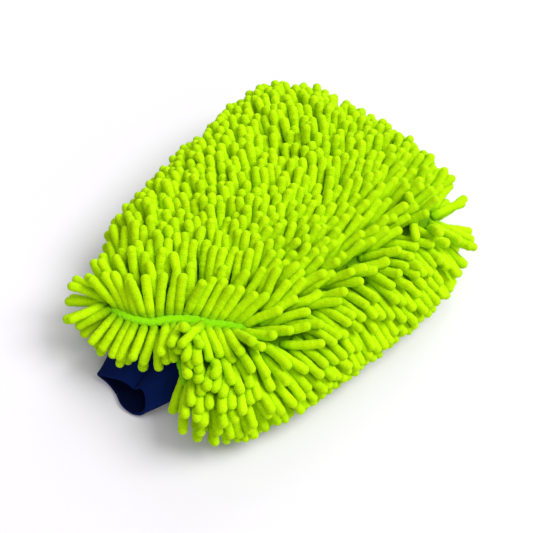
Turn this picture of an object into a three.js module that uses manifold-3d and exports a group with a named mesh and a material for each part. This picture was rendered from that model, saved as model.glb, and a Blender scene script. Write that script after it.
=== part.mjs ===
// A car wash mitt lying palm down, in millimetres. +Z is up, +Y points to the fingertips,
// and the knit cuff is at -Y. The origin is under the middle of the mitt, on the surface it lies on.
// Two chenille panels make the outer shell, a smooth lining sits inside it, and a double knit cuff
// is sewn to the mouth. The fabric layers are thin shells nested inside one another.
import * as THREE from 'three';
import { mergeVertices } from 'three/addons/utils/BufferGeometryUtils.js';
import Module from 'manifold-3d';

const wasm = await Module();
wasm.setup();

// Driving dimensions
const SEAM_Z = 30;            // height of the side seam
const MIDDLE_Y = 4;           // middle of the pouch, without the cuff
const CLOTH_LENGTH = 216;     // ground cloth of the shell, laid out flat on the hand
const CLOTH_WIDTH_CUFF = 120; // its width carried to the cuff end
const CLOTH_WIDTH_TIP = 172;  // its width carried to the fingertip end
const CLOTH_RISE = 17;        // from the side seam up to the back of the hand
const CLOTH_DROP = 15;        // from the side seam down to the palm
const PILE_END = 24;          // how far the noodles stand out at the two ends
const PILE_SIDE = 24;         // and at the long sides
const PILE_BACK = 28;         // and on the back
const PILE_PALM = 23;         // and on the palm, before the weight presses them flat
const CLOTH_THICKNESS = 1.2;
const LINING_THICKNESS = 0.8;
const LAYER_GAP = 0.4;        // free space between two fabric layers
const THREAD_GAP = 0.3;       // free space round a thread in its seam
const PILE_SEAM_GAP = 0.2;    // each pile stops this far from the height of the side seam
const SHELL_THREAD = 1.2;     // diameter of the overlocked side seam
const LINING_THREAD = 0.8;
const STITCH_THREAD = 0.8;
const PLAN_POWER = 4.4;       // squareness of the outline seen from above
const SECTION_POWER = 2.6;    // squareness of a cut across the hand
const END_POWER = 3;          // how bluntly the height falls off at the two ends

// The cuff flexes about a line across the wrist
const HINGE_Y = -80;
const CUFF_RAISE = 20;        // degrees the cuff lifts from where it droops
const CUFF_DROOP = 15;        // degrees it can hang lower
const COLLAR_RADIUS = 16;     // the mouth's edges lie on a cylinder round the hinge line
const CUFF_START_RADIUS = 17.4;        // the cuff starts on a wider one
const JOIN_RADIUS = 16.7;     // the join's stitches run between the two
const JOIN_HALF_WIDTH = 36.4;
const JOIN_HALF_HEIGHT = 12.3;
const CUFF_END_Y = -136;
const CUFF_END_Z = 15;
const CUFF_HALF_WIDTH = [36, 23];      // at the wrist and at the free edge
const CUFF_HALF_HEIGHT = [13, 14];
const MOUTH_HALF_WIDTH = 38.6;         // notch that the mouth leaves in the shell for the cuff
const KNIT_THICKNESS = 1.2;
const KNIT_SLOT = 1.4;        // between the two plies of the folded cuff, with the elastic in it
const ELASTIC_THICKNESS = 0.8;
const ELASTIC_Y = [-105, -99];
const FRINGE_RADIUS = 24;     // the fringe starts outside this cylinder round the hinge line
const FRINGE_HALF_WIDTH = 36;
const FRINGE_SIDE_GAP = 1;

// Facets
const AROUND = 28;
const ALONG = 16;
const ARC_STEPS = 12;
const FAR = 400;

const LIME = 0xa6dc0c;
const LIME_CLOTH = 0x8fe00a;
const LINING_GREY = 0xb9bec2;
const NAVY = 0x071a4a;
const THREAD_LIME = 0x9ad613;
const THREAD_NAVY = 0x0a1a3e;
const ELASTIC_WHITE = 0xe6e6e1;

const signedPower = (value, power) => Math.sign(value) * Math.abs(value) ** power;
const radians = (degrees) => degrees * Math.PI / 180;
const mix = (pair, share) => pair[0] + (pair[1] - pair[0]) * share;

// Manifold solids from closed geometries, and back

function solidOf(geometry) {
  const plain = geometry.index ? geometry.toNonIndexed() : geometry.clone();
  for (const name of Object.keys(plain.attributes)) {
    if (name !== 'position') plain.deleteAttribute(name);
  }
  const merged = mergeVertices(plain, 1e-4);
  const triVerts = new Uint32Array(merged.index.array);
  const vertProperties = new Float32Array(merged.attributes.position.array);
  return new wasm.Manifold(new wasm.Mesh({ numProp: 3, vertProperties, triVerts }));
}

function geometryOf(solid) {
  const mesh = solid.getMesh();
  const geometry = new THREE.BufferGeometry();
  geometry.setAttribute('position', new THREE.BufferAttribute(mesh.vertProperties, 3));
  geometry.setIndex(new THREE.BufferAttribute(mesh.triVerts, 1));
  geometry.computeVertexNormals();
  return geometry;
}

// A closed skin over rings of points. Each end is closed on its own middle point.
function loftedGeometry(rings, startPole, endPole) {
  const count = rings[0].length;
  const points = [...rings.flat(), startPole, endPole];
  const startIndex = rings.length * count;
  const faces = [];
  for (let k = 0; k < count; k += 1) {
    const next = (k + 1) % count;
    faces.push(startIndex, next, k);
    for (let i = 0; i + 1 < rings.length; i += 1) {
      const low = i * count;
      const high = low + count;
      faces.push(low + k, low + next, high + next);
      faces.push(low + k, high + next, high + k);
    }
    const last = (rings.length - 1) * count;
    faces.push(last + k, last + next, startIndex + 1);
  }
  const geometry = new THREE.BufferGeometry();
  geometry.setAttribute('position', new THREE.Float32BufferAttribute(points.flat(), 3));
  geometry.setIndex(faces);
  return geometry;
}

// A ring in a plane across the mitt, anticlockwise seen from the fingertips
function ringAt(y, middleZ, halfWidth, rise, drop, power) {
  const ring = [];
  for (let k = 0; k < AROUND; k += 1) {
    const angle = -2 * Math.PI * k / AROUND;
    const x = halfWidth * signedPower(Math.cos(angle), 2 / power);
    const height = Math.sin(angle) > 0 ? rise : drop;
    ring.push([x, y, middleZ + height * signedPower(Math.sin(angle), 2 / power)]);
  }
  return ring;
}

// The pouch's shape, grown by a distance past the ground cloth in each direction

function pouchStation(turn, grow) {
  const halfLength = CLOTH_LENGTH / 2 + grow.end;
  const y = MIDDLE_Y + halfLength * signedPower(Math.sin(turn), 2 / PLAN_POWER);
  const share = (y - MIDDLE_Y + halfLength) / (2 * halfLength);
  const widest = mix([CLOTH_WIDTH_CUFF / 2, CLOTH_WIDTH_TIP / 2], share) + grow.side;
  const halfWidth = widest * Math.cos(turn) ** (2 / PLAN_POWER);
  return { y, halfWidth, fall: Math.cos(turn) ** (2 / END_POWER) };
}

function pouchSolid(grow) {
  const rings = [];
  for (let i = 1; i < ALONG; i += 1) {
    const { y, halfWidth, fall } = pouchStation(Math.PI * (i / ALONG - 0.5), grow);
    const rise = (CLOTH_RISE + grow.back) * fall;
    const drop = (CLOTH_DROP + grow.palm) * fall;
    rings.push(ringAt(y, SEAM_Z, halfWidth, rise, drop, SECTION_POWER));
  }
  const halfLength = CLOTH_LENGTH / 2 + grow.end;
  const cuffPole = [0, MIDDLE_Y - halfLength, SEAM_Z];
  const tipPole = [0, MIDDLE_Y + halfLength, SEAM_Z];
  return solidOf(loftedGeometry(rings, cuffPole, tipPole));
}

const evenly = (distance) => ({ end: distance, side: distance, back: distance, palm: distance });

function boxSolid(lowest, highest) {
  const size = highest.map((value, i) => value - lowest[i]);
  const geometry = new THREE.BoxGeometry(...size);
  geometry.translate(...lowest.map((value, i) => value + size[i] / 2));
  return solidOf(geometry);
}

// A prism across the wrist from its side view, in distances ahead of the hinge line (towards the
// free edge of the cuff) and above it
function wristPrism(outline, halfWidth) {
  const shape = new THREE.Shape(outline.map(([ahead, above]) => new THREE.Vector2(-ahead, above)));
  const geometry = new THREE.ExtrudeGeometry(shape, { depth: 2 * halfWidth, bevelEnabled: false });
  geometry.translate(0, 0, -halfWidth);
  geometry.applyMatrix4(new THREE.Matrix4().makeBasis(
    new THREE.Vector3(0, 1, 0), new THREE.Vector3(0, 0, 1), new THREE.Vector3(1, 0, 0)));
  geometry.translate(0, HINGE_Y, SEAM_Z);
  return solidOf(geometry);
}

// Points of an arc round the hinge line, from one angle above the cuff's direction to another
function hingeArc(radius, fromDegrees, toDegrees) {
  const points = [];
  for (let i = 0; i <= ARC_STEPS; i += 1) {
    const angle = radians(mix([fromDegrees, toDegrees], i / ARC_STEPS));
    points.push([radius * Math.cos(angle), radius * Math.sin(angle)]);
  }
  return points;
}

// The space that the cuff needs at every angle between its limits. It is also the shell's mouth.
const CUFF_TOP_AT_REST = 52;      // degrees above the cuff's direction, seen from the hinge line
const CUFF_BOTTOM_AT_REST = 63;   // degrees below it

function cuffSweep() {
  const low = -CUFF_BOTTOM_AT_REST - CUFF_DROOP;
  const high = CUFF_TOP_AT_REST + CUFF_RAISE;
  const outline = [
    ...hingeArc(COLLAR_RADIUS, low, high),
    [5.4, 18], [60, 30], [60, -60], [3, -19.5],
  ];
  return wristPrism(outline, MOUTH_HALF_WIDTH);
}

// The space that the fringe needs above the cuff at every angle
const FRINGE_TOP_AT_REST = 58;

function fringeSweep() {
  const outline = [
    ...hingeArc(FRINGE_RADIUS, 0, FRINGE_TOP_AT_REST + CUFF_RAISE + 3),
    [5, 60], [80, 60], [80, 0],
  ];
  return wristPrism(outline, FRINGE_HALF_WIDTH + FRINGE_SIDE_GAP);
}

// Shell, pile and lining

const aboveSeam = (gap) => boxSolid([-FAR, -FAR, SEAM_Z + gap], [FAR, FAR, FAR]);
const belowSeam = (gap) => boxSolid([-FAR, -FAR, 0], [FAR, FAR, SEAM_Z - gap]);

// A fabric layer between two depths inside the shell, open at the mouth
function fabricLayer(outerDepth, innerDepth) {
  const layer = pouchSolid(evenly(-outerDepth)).subtract(pouchSolid(evenly(-innerDepth)));
  return layer.subtract(cuffSweep());
}

function pileSolid() {
  const tips = { end: PILE_END, side: PILE_SIDE, back: PILE_BACK, palm: PILE_PALM };
  return pouchSolid(tips).subtract(pouchSolid(evenly(LAYER_GAP))).subtract(cuffSweep());
}

// Mouth binding: the turned edge of the back panel, lying on the cloth above the cuff

const BINDING = { halfWidth: 44, fromY: -92, toY: -80, above: 8, inside: 0.4, outside: 1.9 };
const BINDING_THREAD_Y = -82;
const BINDING_THREAD_ABOVE = BINDING.outside + LAYER_GAP + STITCH_THREAD / 2;

function bindingZone(margin) {
  return boxSolid(
    [-BINDING.halfWidth - margin, BINDING.fromY - margin, SEAM_Z + BINDING.above - margin],
    [BINDING.halfWidth + margin, BINDING.toY + margin, FAR]);
}

function mouthBinding() {
  const outer = pouchSolid(evenly(BINDING.outside));
  const layer = outer.subtract(pouchSolid(evenly(BINDING.inside)));
  return layer.intersect(bindingZone(0)).subtract(cuffSweep());
}

function bindingRoom() {
  const outer = pouchSolid(evenly(BINDING_THREAD_ABOVE + STITCH_THREAD));
  return outer.intersect(bindingZone(0.6));
}

// Threads: round cords along a curve

function threadAlong(curve, diameter, sides, steps) {
  const section = new THREE.Shape();
  for (let i = 0; i < sides; i += 1) {
    const angle = 2 * Math.PI * i / sides;
    const x = diameter / 2 * Math.cos(angle);
    const y = diameter / 2 * Math.sin(angle);
    if (i === 0) section.moveTo(x, y);
    else section.lineTo(x, y);
  }
  section.closePath();
  return new THREE.ExtrudeGeometry(section, { steps, extrudePath: curve, bevelEnabled: false });
}

const smoothCurve = (points) => new THREE.CatmullRomCurve3(points, false, 'centripetal');

// The U round the hand at the height of the side seam, from one side of the mouth to the other.
// It runs straight between the pouch's stations, as the pouch's faces do.
function sideSeamCurve(depth) {
  const points = [];
  for (let i = 2; i < ALONG; i += 1) {
    const { y, halfWidth } = pouchStation(Math.PI * (i / ALONG - 0.5), evenly(-depth));
    points.push(new THREE.Vector3(halfWidth, y, SEAM_Z));
  }
  const tip = new THREE.Vector3(0, MIDDLE_Y + CLOTH_LENGTH / 2 - depth, SEAM_Z);
  const mirrored = points.map((point) => new THREE.Vector3(-point.x, point.y, point.z));
  const outline = [...points, tip, ...mirrored.reverse()];
  const curve = new THREE.CurvePath();
  for (let i = 0; i + 1 < outline.length; i += 1) {
    curve.add(new THREE.LineCurve3(outline[i], outline[i + 1]));
  }
  return curve;
}

function joinRingGeometry() {
  const points = [];
  for (let k = 0; k < 2 * AROUND; k += 1) {
    const angle = Math.PI * k / AROUND;
    const x = JOIN_HALF_WIDTH * Math.cos(angle);
    const above = JOIN_HALF_HEIGHT * Math.sin(angle);
    const ahead = Math.sqrt(JOIN_RADIUS ** 2 - above ** 2);
    points.push([x, HINGE_Y - ahead, SEAM_Z + above]);
  }
  return closedThread(points, STITCH_THREAD / 2, 6);
}

// A thread that closes on itself, as a ring of sections round a closed list of points
function closedThread(points, radius, sides) {
  const count = points.length;
  const spots = points.map((point) => new THREE.Vector3(...point));
  const positions = [];
  const faces = [];
  spots.forEach((spot, i) => {
    const along = spots[(i + 1) % count].clone().sub(spots[(i + count - 1) % count]).normalize();
    const forward = new THREE.Vector3(0, 1, 0);
    const across = forward.clone().cross(along).normalize();
    const other = along.clone().cross(across).normalize();
    for (let j = 0; j < sides; j += 1) {
      const angle = 2 * Math.PI * j / sides;
      const vertex = spot.clone();
      vertex.addScaledVector(across, radius * Math.cos(angle));
      vertex.addScaledVector(other, radius * Math.sin(angle));
      positions.push(vertex.x, vertex.y, vertex.z);
      const here = i * sides;
      const there = ((i + 1) % count) * sides;
      const next = (j + 1) % sides;
      faces.push(here + j, here + next, there + next);
      faces.push(here + j, there + next, there + j);
    }
  });
  const geometry = new THREE.BufferGeometry();
  geometry.setAttribute('position', new THREE.Float32BufferAttribute(positions, 3));
  geometry.setIndex(faces);
  return geometry;
}

// Height of the back's outer face over a point of the mitt
function clothTop(x, y) {
  const along = Math.abs(y - MIDDLE_Y) / (CLOTH_LENGTH / 2);
  const turn = Math.sign(y - MIDDLE_Y) * Math.asin(along ** (PLAN_POWER / 2));
  const { halfWidth, fall } = pouchStation(turn, evenly(0));
  const across = Math.abs(x / halfWidth) ** SECTION_POWER;
  return SEAM_Z + CLOTH_RISE * fall * (1 - across) ** (1 / SECTION_POWER);
}

function bindingThreadGeometry() {
  const points = [];
  for (let i = 0; i <= 16; i += 1) {
    const x = mix([-40, 40], i / 16);
    const z = clothTop(x, BINDING_THREAD_Y) + BINDING_THREAD_ABOVE;
    points.push(new THREE.Vector3(x, BINDING_THREAD_Y, z));
  }
  return threadAlong(smoothCurve(points), STITCH_THREAD, 6, 24);
}

// Cuff: a knit band folded double at its free edge, so its two plies join there

function cuffSolid(shrink, pastEnd) {
  const rings = [];
  const startY = HINGE_Y;
  const steps = 4;
  for (let i = 0; i <= steps; i += 1) {
    const share = i / steps * (1 + pastEnd / (startY - CUFF_END_Y));
    const y = mix([startY, CUFF_END_Y], share);
    const z = mix([SEAM_Z, CUFF_END_Z], share);
    const halfWidth = mix(CUFF_HALF_WIDTH, share) - shrink;
    const halfHeight = mix(CUFF_HALF_HEIGHT, share) - shrink;
    rings.push(ringAt(y, z, halfWidth, halfHeight, halfHeight, 2));
  }
  rings.reverse();
  const endY = rings[0][0][1];
  const endZ = mix([SEAM_Z, CUFF_END_Z], (startY - endY) / (startY - CUFF_END_Y));
  return solidOf(loftedGeometry(rings, [0, endY, endZ], [0, startY, SEAM_Z]));
}

function hingeCylinder(radius) {
  const geometry = new THREE.CylinderGeometry(radius, radius, FAR, 48);
  geometry.rotateZ(Math.PI / 2);
  geometry.translate(0, HINGE_Y, SEAM_Z);
  return solidOf(geometry);
}

function cuffBand() {
  const inner = 2 * KNIT_THICKNESS + KNIT_SLOT;
  const tube = cuffSolid(0, 0).subtract(cuffSolid(inner, 10));
  const slotOutside = cuffSolid(KNIT_THICKNESS, -KNIT_THICKNESS);
  const slot = slotOutside.subtract(cuffSolid(KNIT_THICKNESS + KNIT_SLOT, 10));
  return tube.subtract(slot).subtract(hingeCylinder(CUFF_START_RADIUS));
}

function elasticBand() {
  const inset = KNIT_THICKNESS + (KNIT_SLOT - ELASTIC_THICKNESS) / 2;
  const ring = cuffSolid(inset, 0).subtract(cuffSolid(inset + ELASTIC_THICKNESS, 10));
  return ring.intersect(boxSolid([-FAR, ELASTIC_Y[0], 0], [FAR, ELASTIC_Y[1], FAR]));
}

function cuffSeamGeometry() {
  const inset = 2 * KNIT_THICKNESS + KNIT_SLOT + LAYER_GAP + STITCH_THREAD / 2;
  const points = [];
  for (let i = 0; i <= 6; i += 1) {
    const share = mix([0.48, 0.97], i / 6);
    const x = -(mix(CUFF_HALF_WIDTH, share) - inset);
    const y = mix([HINGE_Y, CUFF_END_Y], share);
    points.push(new THREE.Vector3(x, y, mix([SEAM_Z, CUFF_END_Z], share)));
  }
  return threadAlong(smoothCurve(points), STITCH_THREAD, 6, 8);
}

// The noodles of the mouth edge lie over the cuff as one soft strip, drooping past its middle
function mouthFringe() {
  const inner = hingeArc(FRINGE_RADIUS + 0.6, 30, FRINGE_TOP_AT_REST);
  const outline = [...inner, [20, 27], [27, 26], [32, 21], [34, 14], [33, 7], [30, 5]];
  const clear = cuffSolid(-LAYER_GAP, 10);
  return wristPrism(outline, FRINGE_HALF_WIDTH).subtract(clear);
}

// Assembly

const group = new THREE.Group();

function addPiece(name, shape, colour, roughness) {
  const geometry = shape instanceof THREE.BufferGeometry ? shape : geometryOf(shape);
  const material = new THREE.MeshStandardMaterial({ color: colour, roughness, metalness: 0 });
  const mesh = new THREE.Mesh(geometry, material);
  mesh.name = name;
  group.add(mesh);
}

const pile = pileSolid();
const cloth = fabricLayer(0, CLOTH_THICKNESS);
const liningDepth = CLOTH_THICKNESS + LAYER_GAP;
const lining = fabricLayer(liningDepth, liningDepth + LINING_THICKNESS);
const shellGap = SHELL_THREAD / 2 + THREAD_GAP;
const liningGap = LINING_THREAD / 2 + THREAD_GAP;
const liningSeamDepth = liningDepth + LINING_THICKNESS / 2;

const upperPile = pile.intersect(aboveSeam(PILE_SEAM_GAP));
const backPile = upperPile.subtract(fringeSweep()).subtract(bindingRoom());
addPiece('back_pile', backPile, LIME, 0.95);
addPiece('palm_pile', pile.intersect(belowSeam(PILE_SEAM_GAP)), LIME, 0.95);
addPiece('mouth_fringe', mouthFringe(), LIME, 0.95);
addPiece('back_ground_cloth', cloth.intersect(aboveSeam(shellGap)), LIME_CLOTH, 0.8);
addPiece('palm_ground_cloth', cloth.intersect(belowSeam(shellGap)), LIME_CLOTH, 0.8);
addPiece('shell_seam_thread',
  threadAlong(sideSeamCurve(CLOTH_THICKNESS / 2), SHELL_THREAD, 6, 72), THREAD_LIME, 0.7);
addPiece('back_lining', lining.intersect(aboveSeam(liningGap)), LINING_GREY, 0.85);
addPiece('palm_lining', lining.intersect(belowSeam(liningGap)), LINING_GREY, 0.85);
addPiece('lining_seam_thread',
  threadAlong(sideSeamCurve(liningSeamDepth), LINING_THREAD, 6, 72), LINING_GREY, 0.7);
addPiece('wrist_elastic', elasticBand(), ELASTIC_WHITE, 0.8);
addPiece('mouth_binding', mouthBinding(), LIME_CLOTH, 0.8);
addPiece('mouth_binding_thread', bindingThreadGeometry(), THREAD_LIME, 0.7);
addPiece('cuff_join_thread', joinRingGeometry(), THREAD_NAVY, 0.7);
addPiece('cuff', cuffBand(), NAVY, 0.9);
addPiece('cuff_seam_thread', cuffSeamGeometry(), THREAD_NAVY, 0.7);

export default group;
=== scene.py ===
"""A car wash mitt lying palm down: lime chenille noodles on a knit ground cloth, a smooth lining,
and a navy knit cuff that comes out of the mouth under a fringe of noodles."""
import itertools
import math

import bpy
import numpy as np
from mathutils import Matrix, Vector


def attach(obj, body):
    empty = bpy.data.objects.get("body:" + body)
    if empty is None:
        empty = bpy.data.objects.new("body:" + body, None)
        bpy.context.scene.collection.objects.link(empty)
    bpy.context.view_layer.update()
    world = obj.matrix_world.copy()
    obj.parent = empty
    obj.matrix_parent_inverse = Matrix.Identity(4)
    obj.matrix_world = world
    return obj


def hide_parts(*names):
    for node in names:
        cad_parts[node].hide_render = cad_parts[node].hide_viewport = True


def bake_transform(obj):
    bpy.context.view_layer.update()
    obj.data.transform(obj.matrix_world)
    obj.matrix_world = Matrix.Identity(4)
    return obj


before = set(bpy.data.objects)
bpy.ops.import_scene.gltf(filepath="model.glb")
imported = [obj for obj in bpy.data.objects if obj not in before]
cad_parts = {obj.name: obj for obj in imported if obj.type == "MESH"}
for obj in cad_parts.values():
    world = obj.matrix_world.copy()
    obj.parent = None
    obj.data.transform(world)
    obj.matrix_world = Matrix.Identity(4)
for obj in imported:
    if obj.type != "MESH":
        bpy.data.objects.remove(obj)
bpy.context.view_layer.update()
rng = np.random.default_rng(11)
MM = 0.001

# ---- camera

CAMERA_AZIMUTH = 45
CAMERA_ELEVATION = 60
CAMERA_DISTANCE = 0.65
CAMERA_TARGET = Vector((0.0049, -0.0022, 0.030))
CAMERA_LENS = 65.3


def make_camera():
    a, e = math.radians(CAMERA_AZIMUTH), math.radians(CAMERA_ELEVATION)
    back = Vector((math.sin(a) * math.cos(e), -math.cos(a) * math.cos(e), math.sin(e)))
    data = bpy.data.cameras.new("camera")
    data.lens = CAMERA_LENS
    data.sensor_width = 36
    camera = bpy.data.objects.new("camera", data)
    camera.location = CAMERA_TARGET + back * CAMERA_DISTANCE
    camera.rotation_mode = "QUATERNION"
    camera.rotation_quaternion = (-back).to_track_quat("-Z", "Y")
    bpy.context.scene.collection.objects.link(camera)
    bpy.context.scene.camera = camera


make_camera()

# ---- sizes, in metres, as the CAD has them

SEAM_Z = 30 * MM
MIDDLE_Y = 4 * MM
CLOTH_LENGTH = 216 * MM
CLOTH_WIDTH_CUFF = 120 * MM
CLOTH_WIDTH_TIP = 172 * MM
CLOTH_RISE = 17 * MM
CLOTH_DROP = 15 * MM
PLAN_POWER = 4.4
SECTION_POWER = 2.6
END_POWER = 3
CLOTH_THICKNESS = 1.2 * MM
LINING_DEPTH = 1.6 * MM
LINING_THICKNESS = 0.8 * MM

PLAN_SHARE = 2 / PLAN_POWER
SECTION_SHARE = 2 / SECTION_POWER
END_SHARE = 2 / END_POWER

NOODLE_RADIUS = 3.1 * MM
NOODLE_LENGTH = 29.5 * MM
LINKS = 8                       # straight links that each noodle bends with
SIDES = 10
TIP_ANGLES = np.radians([14, 28, 42, 56, 69, 81])
TIP_SHARE = NOODLE_RADIUS / NOODLE_LENGTH
BODY_RINGS = 52
STOPS = np.concatenate([np.linspace(0, 1 - TIP_SHARE, BODY_RINGS),
                        1 - TIP_SHARE * (1 - np.sin(TIP_ANGLES))])
RINGS = len(STOPS)

# The hem of the mouth, seen from above, from the left corner to where it ends beside the cuff
HEM = np.array([(-45, -95), (-37, -97), (-25, -95), (-13, -89), (-4, -79), (5, -71),
                (16, -64), (27, -56), (36, -50)]) * MM
# The mouth leaves the hem near its middle and goes down beside the cuff, under it and up at the left
MOUTH_BESIDE = np.array([(4, -71), (8, -78), (12, -86), (20, -93), (31, -98)]) * MM
MOUTH_LOW = np.array([(36, -94, 23), (34, -90, 19.5), (26, -85, 17), (10, -82.5, 15.8), (-12, -82.5, 15.8),
                      (-30, -86, 17.5), (-40, -92, 20.5), (-45, -97, 28)]) * MM
MOUTH_LEFT = -44 * MM
# The palm's edge of the mouth, under the cuff: y by x
LOW_EDGE_X = np.array([-46, -40, -30, -12, 10, 26, 34, 38]) * MM
LOW_EDGE_Y = np.array([-99, -92, -86, -82, -82, -85, -90, -98]) * MM


def unit(v):
    return v / np.maximum(np.linalg.norm(v, axis=-1, keepdims=True), 1e-12)


def smooth(x):
    x = np.clip(x, 0, 1)
    return x * x * (3 - 2 * x)


def mix(a, b, share):
    return a * (1 - share) + b * share


def signed_power(value, power):
    return np.sign(value) * np.abs(value) ** power


def lengths_along(line):
    """How far along the line each of its points is."""
    return np.concatenate([[0], np.cumsum(np.linalg.norm(np.diff(line, axis=0), axis=1))])


def sampled(places, stops, table):
    """The table's rows at places among its stops."""
    return np.stack([np.interp(places, stops, column) for column in table.T], 1)


def catmull_rom(a, b, c, d, t):
    """Points of the curve from b to c, at shares t of the way."""
    return 0.5 * (2 * b + (c - a) * t + (2 * a - 5 * b + 4 * c - d) * t ** 2
                  + (3 * b - a - 3 * c + d) * t ** 3)


def spline(points, count, closed=False):
    """Catmull-Rom curve through the points, as count points evenly spaced along it."""
    p = np.asarray(points, float)
    if closed:
        p = np.concatenate([p[-1:], p, p[:2]])
    else:
        p = np.concatenate([2 * p[:1] - p[1:2], p, 2 * p[-1:] - p[-2:-1]])
    t = np.linspace(0, 1, 24, endpoint=False)[:, None]
    parts = [catmull_rom(a, b, c, d, t) for a, b, c, d in zip(p, p[1:], p[2:], p[3:])]
    dense = np.concatenate([*parts, p[-2:-1]])
    along = lengths_along(dense)
    return sampled(np.linspace(0, along[-1], count, endpoint=not closed), along, dense)


# ---- the pouch

HEM_LINE = spline(HEM, 120)
HEM_TANGENT = unit(np.gradient(HEM_LINE, axis=0))


def front_dip(x, y):
    """How far the cloth sinks at the corner beside the cuff, in front of the hem."""
    ahead = np.interp(x, HEM_LINE[:, 0], HEM_LINE[:, 1]) - y
    return 8 * MM * smooth(ahead / (20 * MM)) * smooth((x - 2 * MM) / (12 * MM))


def half_widest(share):
    """Half the cloth's width by how far along it from the cuff's end."""
    return mix(CLOTH_WIDTH_CUFF, CLOTH_WIDTH_TIP, share) / 2


def pouch(turn, around, depth=0.0):
    """Points of the ground cloth. turn goes from the cuff end to the fingertips, and around from the
    +X seam over the back. depth is how far inside the cloth's outer face."""
    half_length = CLOTH_LENGTH / 2 - depth
    y = MIDDLE_Y + half_length * signed_power(np.sin(turn), PLAN_SHARE)
    share = (y - MIDDLE_Y + half_length) / (2 * half_length)
    widest = half_widest(share) - depth
    half_width = widest * np.cos(turn) ** PLAN_SHARE
    x = half_width * signed_power(np.cos(around), SECTION_SHARE)
    height = np.where(np.sin(around) > 0, CLOTH_RISE, CLOTH_DROP) - depth
    above = height * np.cos(turn) ** END_SHARE * signed_power(np.sin(around), SECTION_SHARE)
    sink = front_dip(x, y) * np.clip(above / CLOTH_RISE, 0, 1)
    return np.stack([x, y, SEAM_Z + above - sink], -1)


def pouch_grid(inset, turns, low, high, steps, depth=0.0):
    """Points on the pouch in rows of steps, that stop a little short of its two ends."""
    turn = np.linspace(-np.pi / 2 + inset, np.pi / 2 - inset, turns)[:, None]
    around = np.linspace(low, high, steps)[None]
    return pouch(turn + 0 * around, around + 0 * turn, depth)


def cloth_height(x, y):
    """Height of the back's outer face over a point of the mitt."""
    along = np.clip(np.abs(y - MIDDLE_Y) / (CLOTH_LENGTH / 2), 0, 0.9999)
    cosine = np.sqrt(1 - along ** PLAN_POWER)
    share = (y - MIDDLE_Y + CLOTH_LENGTH / 2) / CLOTH_LENGTH
    across = np.clip(np.abs(x) / (half_widest(share) * cosine ** PLAN_SHARE), 0, 1)
    above = CLOTH_RISE * cosine ** END_SHARE * (1 - across ** SECTION_POWER) ** (1 / SECTION_POWER)
    return SEAM_Z + above * (1 - front_dip(x, y) / CLOTH_RISE)


MOUTH_EDGE = spline(MOUTH_BESIDE, 60)[::-1]


def in_mouth(p):
    """Whether points of the pouch's surface are inside its mouth."""
    x, y, z = p[..., 0], p[..., 1], p[..., 2]
    beside = x < np.interp(y, MOUTH_EDGE[:, 1], MOUTH_EDGE[:, 0])
    upper = (y < np.interp(x, HEM_LINE[:, 0], HEM_LINE[:, 1])) & beside & (x > MOUTH_LEFT)
    lower = (y < np.interp(x, LOW_EDGE_X, LOW_EDGE_Y)) & (x > LOW_EDGE_X[0]) & (x < LOW_EDGE_X[-1])
    return np.where(z > SEAM_Z, upper, lower)


def pouch_inside(p, margin):
    """How far inside the pouch grown by margin each point is, as a share, and the way out."""
    half_length = CLOTH_LENGTH / 2 + margin
    along = np.clip((p[:, 1] - MIDDLE_Y) / half_length, -0.999, 0.999)
    cosine = np.sqrt(1 - np.abs(along) ** PLAN_POWER)
    share = (along + 1) / 2
    widest = half_widest(share) + margin
    half_width = widest * cosine ** PLAN_SHARE
    up = p[:, 2] > SEAM_Z
    height = (np.where(up, CLOTH_RISE, CLOTH_DROP) + margin) * cosine ** END_SHARE
    height = height - np.where(up, front_dip(p[:, 0], p[:, 1]), 0) * 0.7
    u, w = p[:, 0] / half_width, (p[:, 2] - SEAM_Z) / height
    level = (np.abs(u) ** SECTION_POWER + np.abs(w) ** SECTION_POWER) ** (1 / SECTION_POWER)
    out = np.stack([signed_power(u, 1.6) / half_width, np.zeros_like(u), signed_power(w, 1.6) / height], 1)
    return np.clip(1 - level, 0, 0.4), unit(out), np.minimum(half_width, height)


# ---- the cuff's shape

# The ring at the wrist from its right side over the top, lower on the right under the pile
WRIST_Y = -78 * MM
WRIST_RING = np.array([(35, 24), (25, 31), (8, 38.5), (-10, 42), (-29, 39.5), (-41, 30),
                       (-32, 23), (-10, 21), (10, 20.5), (29, 20)]) * MM
# The free edge, from its right side over the top: a small loop, a valley, then a lobe pinched flat
CUFF_EDGE = np.array([(16, -123.5, 8.5), (14, -119.5, 14.5), (9.5, -117, 18), (4.5, -117.5, 16),
                      (1.5, -119, 11), (-3, -120.5, 14.5), (-10, -122.5, 14.5), (-18, -125.5, 11),
                      (-25, -128.5, 6.5), (-18, -127, 3.2), (-8, -128, 2.2), (0, -130.5, 2.2),
                      (8, -130, 2.2), (13.5, -127.5, 3.6)]) * MM
CUFF_AROUND = 160
CUFF_ALONG = 60
PLY = 0.8 * MM
PLY_GAP = 0.6 * MM


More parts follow.
